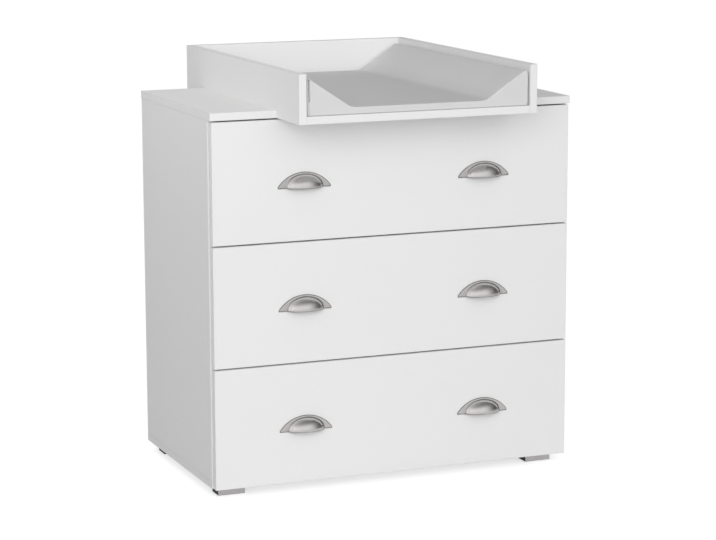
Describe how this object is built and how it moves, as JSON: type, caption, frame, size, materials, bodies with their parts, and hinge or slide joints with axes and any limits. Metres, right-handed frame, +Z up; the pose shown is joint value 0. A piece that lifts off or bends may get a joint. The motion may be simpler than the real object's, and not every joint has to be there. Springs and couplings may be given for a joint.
{
  "type": "changing dresser",
  "caption": "White chest of drawers with half-moon cup handles and low feet, topped by an open-fronted changing tray that holds a contoured grey mat.",
  "frame": {"origin": "on the floor, under the centre of the changing tray, which is also the centre of the whole object's box", "axes": "+X to the right as seen from the front, -Y to the front, where the drawers open, +Z up"},
  "size_m": [0.8, 0.7, 0.881],
  "materials": {
    "white_board": "smooth satin white melamine on chipboard",
    "thin_board": "thin fibreboard, lacquered white",
    "nickel": "brushed nickel plating on cast metal",
    "silver_strip": "satin silver strip",
    "black_plastic": "matt black moulded plastic",
    "white_steel": "white powder-coated rolled steel",
    "roller_plastic": "smooth white nylon",
    "zinc": "cast zinc",
    "plated_steel": "zinc-plated steel",
    "beech": "plain beech dowel",
    "mat_cover": "smooth light grey wipe-clean cover over foam"
  },
  "bodies": {
    "carcass": {"top_panel": "white_board", "bottom_panel": "white_board", "left_side_panel": "white_board", "right_side_panel": "white_board", "back_panel": "thin_board", "back_panel_nails": "plated_steel", "cam_fittings": "zinc", "dowels": "beech", "short_screws": "plated_steel", "tray_screws": "plated_steel", "foot_front_left": "black_plastic", "foot_front_right": "black_plastic", "foot_rear_left": "black_plastic", "foot_rear_right": "black_plastic", "foot_trims": "silver_strip", "cabinet_runners_1": "white_steel", "cabinet_runners_2": "white_steel", "cabinet_runners_3": "white_steel", "tray_left_wall": "white_board", "tray_right_wall": "white_board", "tray_back_wall": "white_board", "tray_front_board": "white_board", "tray_rear_board": "white_board"},
    "drawer_1": {"drawer_1_front": "white_board", "drawer_1_left_side": "white_board", "drawer_1_right_side": "white_board", "drawer_1_back": "white_board", "drawer_1_bottom": "thin_board", "drawer_1_left_handle": "nickel", "drawer_1_right_handle": "nickel", "drawer_1_runners": "white_steel", "drawer_1_screws": "plated_steel", "drawer_1_cam_fittings": "zinc"},
    "cabinet_rollers_1": {"cabinet_rollers_1": "roller_plastic"},
    "drawer_1_rollers": {"drawer_1_rollers": "roller_plastic"},
    "drawer_2": {"drawer_2_front": "white_board", "drawer_2_left_side": "white_board", "drawer_2_right_side": "white_board", "drawer_2_back": "white_board", "drawer_2_bottom": "thin_board", "drawer_2_left_handle": "nickel", "drawer_2_right_handle": "nickel", "drawer_2_runners": "white_steel", "drawer_2_screws": "plated_steel", "drawer_2_cam_fittings": "zinc"},
    "cabinet_rollers_2": {"cabinet_rollers_2": "roller_plastic"},
    "drawer_2_rollers": {"drawer_2_rollers": "roller_plastic"},
    "drawer_3": {"drawer_3_front": "white_board", "drawer_3_left_side": "white_board", "drawer_3_right_side": "white_board", "drawer_3_back": "white_board", "drawer_3_bottom": "thin_board", "drawer_3_left_handle": "nickel", "drawer_3_right_handle": "nickel", "drawer_3_runners": "white_steel", "drawer_3_screws": "plated_steel", "drawer_3_cam_fittings": "zinc"},
    "cabinet_rollers_3": {"cabinet_rollers_3": "roller_plastic"},
    "drawer_3_rollers": {"drawer_3_rollers": "roller_plastic"},
    "mat": {"changing_mat": "mat_cover"}
  },
  "joints": [
    {"name": "drawer_1_slide", "type": "slide", "parent": "carcass", "child": "drawer_1", "axis": [0, -1, 0], "range_m": [0, 0.3]},
    {"name": "cabinet_rollers_1_turn", "type": "hinge", "parent": "carcass", "child": "cabinet_rollers_1", "pos_m": [0, -0.19, 0.56045], "axis": [1, 0, 0], "continuous": true},
    {"name": "drawer_1_rollers_turn", "type": "hinge", "parent": "drawer_1", "child": "drawer_1_rollers", "pos_m": [0, 0.18, 0.55815], "axis": [1, 0, 0], "continuous": true},
    {"name": "drawer_2_slide", "type": "slide", "parent": "carcass", "child": "drawer_2", "axis": [0, -1, 0], "range_m": [0, 0.3]},
    {"name": "cabinet_rollers_2_turn", "type": "hinge", "parent": "carcass", "child": "cabinet_rollers_2", "pos_m": [0, -0.19, 0.30745], "axis": [1, 0, 0], "continuous": true},
    {"name": "drawer_2_rollers_turn", "type": "hinge", "parent": "drawer_2", "child": "drawer_2_rollers", "pos_m": [0, 0.18, 0.30515], "axis": [1, 0, 0], "continuous": true},
    {"name": "drawer_3_slide", "type": "slide", "parent": "carcass", "child": "drawer_3", "axis": [0, -1, 0], "range_m": [0, 0.3]},
    {"name": "cabinet_rollers_3_turn", "type": "hinge", "parent": "carcass", "child": "cabinet_rollers_3", "pos_m": [0, -0.19, 0.05445], "axis": [1, 0, 0], "continuous": true},
    {"name": "drawer_3_rollers_turn", "type": "hinge", "parent": "drawer_3", "child": "drawer_3_rollers", "pos_m": [0, 0.18, 0.05215], "axis": [1, 0, 0], "continuous": true},
    {"name": "mat_lift", "type": "slide", "parent": "carcass", "child": "mat", "axis": [0, 0, 1], "range_m": [0, 0.15]}
  ],
  "couplings": [
    {"joint": "cabinet_rollers_1_turn", "follows": "drawer_1_slide", "rad_per_m": 125},
    {"joint": "drawer_1_rollers_turn", "follows": "drawer_1_slide", "rad_per_m": 125},
    {"joint": "cabinet_rollers_2_turn", "follows": "drawer_2_slide", "rad_per_m": 125},
    {"joint": "drawer_2_rollers_turn", "follows": "drawer_2_slide", "rad_per_m": 125},
    {"joint": "cabinet_rollers_3_turn", "follows": "drawer_3_slide", "rad_per_m": 125},
    {"joint": "drawer_3_rollers_turn", "follows": "drawer_3_slide", "rad_per_m": 125}
  ]
}
